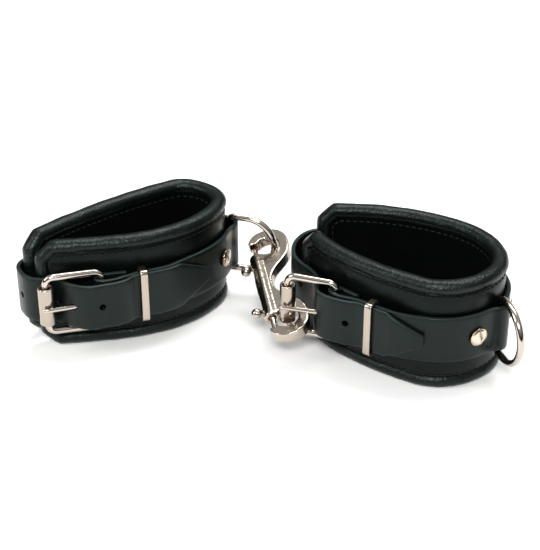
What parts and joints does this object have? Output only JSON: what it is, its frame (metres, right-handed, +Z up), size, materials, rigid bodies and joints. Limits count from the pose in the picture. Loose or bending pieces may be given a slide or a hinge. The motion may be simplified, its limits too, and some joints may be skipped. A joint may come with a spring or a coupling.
{
  "type": "wrist cuffs",
  "caption": "Pair of padded black leather wrist cuffs with roller buckles and D-rings, joined by a double-ended bolt snap.",
  "frame": {"origin": "middle of the whole pair's bounding box, on the surface it stands on", "axes": "+X from the left cuff to the right cuff as pictured, -Y towards the viewer and the buckles, +Z up along both wrists"},
  "size_m": [0.2472, 0.1232, 0.06],
  "materials": {
    "firm_leather": "smooth black, soft sheen",
    "soft_leather": "soft black, fine grain",
    "lining_cloth": "matte black nap",
    "foam": "open-cell grey foam, hidden",
    "nickel_plate": "bright nickel plate on steel wire",
    "nickel_cast": "bright nickel plate on die-cast zinc",
    "spring_steel": "bare spring steel"
  },
  "bodies": {
    "left_cuff": {"left_outer_panel": "firm_leather", "left_foam_pad": "foam", "left_lining": "lining_cloth", "left_edge_binding": "soft_leather", "left_strap": "firm_leather", "left_front_rivet": "nickel_plate", "left_front_rivet_cap": "nickel_plate", "left_rear_rivet": "nickel_plate", "left_rear_rivet_cap": "nickel_plate"},
    "left_buckle": {"left_buckle_frame": "nickel_plate"},
    "left_roller": {"left_buckle_roller": "nickel_plate"},
    "left_prong": {"left_buckle_prong": "nickel_plate"},
    "left_keeper_loop": {"left_keeper": "nickel_plate"},
    "left_ring": {"left_d_ring": "nickel_plate"},
    "right_cuff": {"right_outer_panel": "firm_leather", "right_foam_pad": "foam", "right_lining": "lining_cloth", "right_edge_binding": "soft_leather", "right_strap": "firm_leather", "right_front_rivet": "nickel_plate", "right_front_rivet_cap": "nickel_plate", "right_rear_rivet": "nickel_plate", "right_rear_rivet_cap": "nickel_plate"},
    "right_buckle": {"right_buckle_frame": "nickel_plate"},
    "right_roller": {"right_buckle_roller": "nickel_plate"},
    "right_prong": {"right_buckle_prong": "nickel_plate"},
    "right_keeper_loop": {"right_keeper": "nickel_plate"},
    "right_ring": {"right_d_ring": "nickel_plate"},
    "snap": {"snap_body": "nickel_cast", "snap_left_spring": "spring_steel", "snap_right_spring": "spring_steel"},
    "snap_left_gate": {"snap_left_bolt": "nickel_plate", "snap_left_knob": "nickel_plate"},
    "snap_right_gate": {"snap_right_bolt": "nickel_plate", "snap_right_knob": "nickel_plate"}
  },
  "joints": [
    {"name": "left_buckle_hinge", "type": "hinge", "parent": "left_cuff", "child": "left_buckle", "pos_m": [-0.07984, -0.01472, 0.03], "axis": [0, 0, 1], "range_deg": [-0.5, 1.5]},
    {"name": "left_roller_turn", "type": "hinge", "parent": "left_buckle", "child": "left_roller", "pos_m": [-0.10705, -0.02137, 0.03], "axis": [0, 0, 1], "continuous": true},
    {"name": "left_prong_hinge", "type": "hinge", "parent": "left_buckle", "child": "left_prong", "pos_m": [-0.07984, -0.01472, 0.03], "axis": [0, 0, 1], "range_deg": [-0.4, 0.6]},
    {"name": "left_keeper_slide", "type": "slide", "parent": "left_cuff", "child": "left_keeper_loop", "axis": [0.9557, 0.2942, 0], "range_m": [-0.001, 0.004]},
    {"name": "left_ring_swing", "type": "hinge", "parent": "left_cuff", "child": "left_ring", "pos_m": [-0.01801, 0.04195, 0.03], "axis": [0, 0, 1], "range_deg": [-15, 18]},
    {"name": "snap_swing", "type": "hinge", "parent": "left_ring", "child": "snap", "pos_m": [0.0056, 0.03554, 0.03], "axis": [0, 0, 1], "range_deg": [-15, 18]},
    {"name": "snap_to_right_buckle", "type": "hinge", "parent": "snap", "child": "right_buckle", "pos_m": [0.01215, -0.01833, 0.03], "axis": [0, 0, 1], "range_deg": [-12, 4]},
    {"name": "right_buckle_hinge", "type": "hinge", "parent": "right_buckle", "child": "right_cuff", "pos_m": [0.03583, -0.02645, 0.03], "axis": [0, 0, 1], "range_deg": [-1.5, 1.5]},
    {"name": "right_roller_turn", "type": "hinge", "parent": "right_buckle", "child": "right_roller", "pos_m": [0.01215, -0.01833, 0.03], "axis": [0, 0, 1], "continuous": true},
    {"name": "right_prong_hinge", "type": "hinge", "parent": "right_buckle", "child": "right_prong", "pos_m": [0.03583, -0.02645, 0.03], "axis": [0, 0, 1], "range_deg": [-0.4, 0.8]},
    {"name": "right_keeper_slide", "type": "slide", "parent": "right_cuff", "child": "right_keeper_loop", "axis": [0.8116, -0.5842, 0], "range_m": [-0.004, 0.006]},
    {"name": "right_ring_swing", "type": "hinge", "parent": "right_cuff", "child": "right_ring", "pos_m": [0.11437, -0.03887, 0.03], "axis": [0, 0, 1], "range_deg": [-55, 75]},
    {"name": "snap_left_bolt_slide", "type": "slide", "parent": "snap", "child": "snap_left_gate", "axis": [0.171, -0.9732, -0.154], "range_m": [0, 0.0085], "stiffness_N_per_m": 150, "springref_m": -0.006, "deforming": ["snap_left_spring"]},
    {"name": "snap_right_bolt_slide", "type": "slide", "parent": "snap", "child": "snap_right_gate", "axis": [-0.171, 0.9732, 0.154], "range_m": [0, 0.0085], "stiffness_N_per_m": 150, "springref_m": -0.006, "deforming": ["snap_right_spring"]}
  ]
}
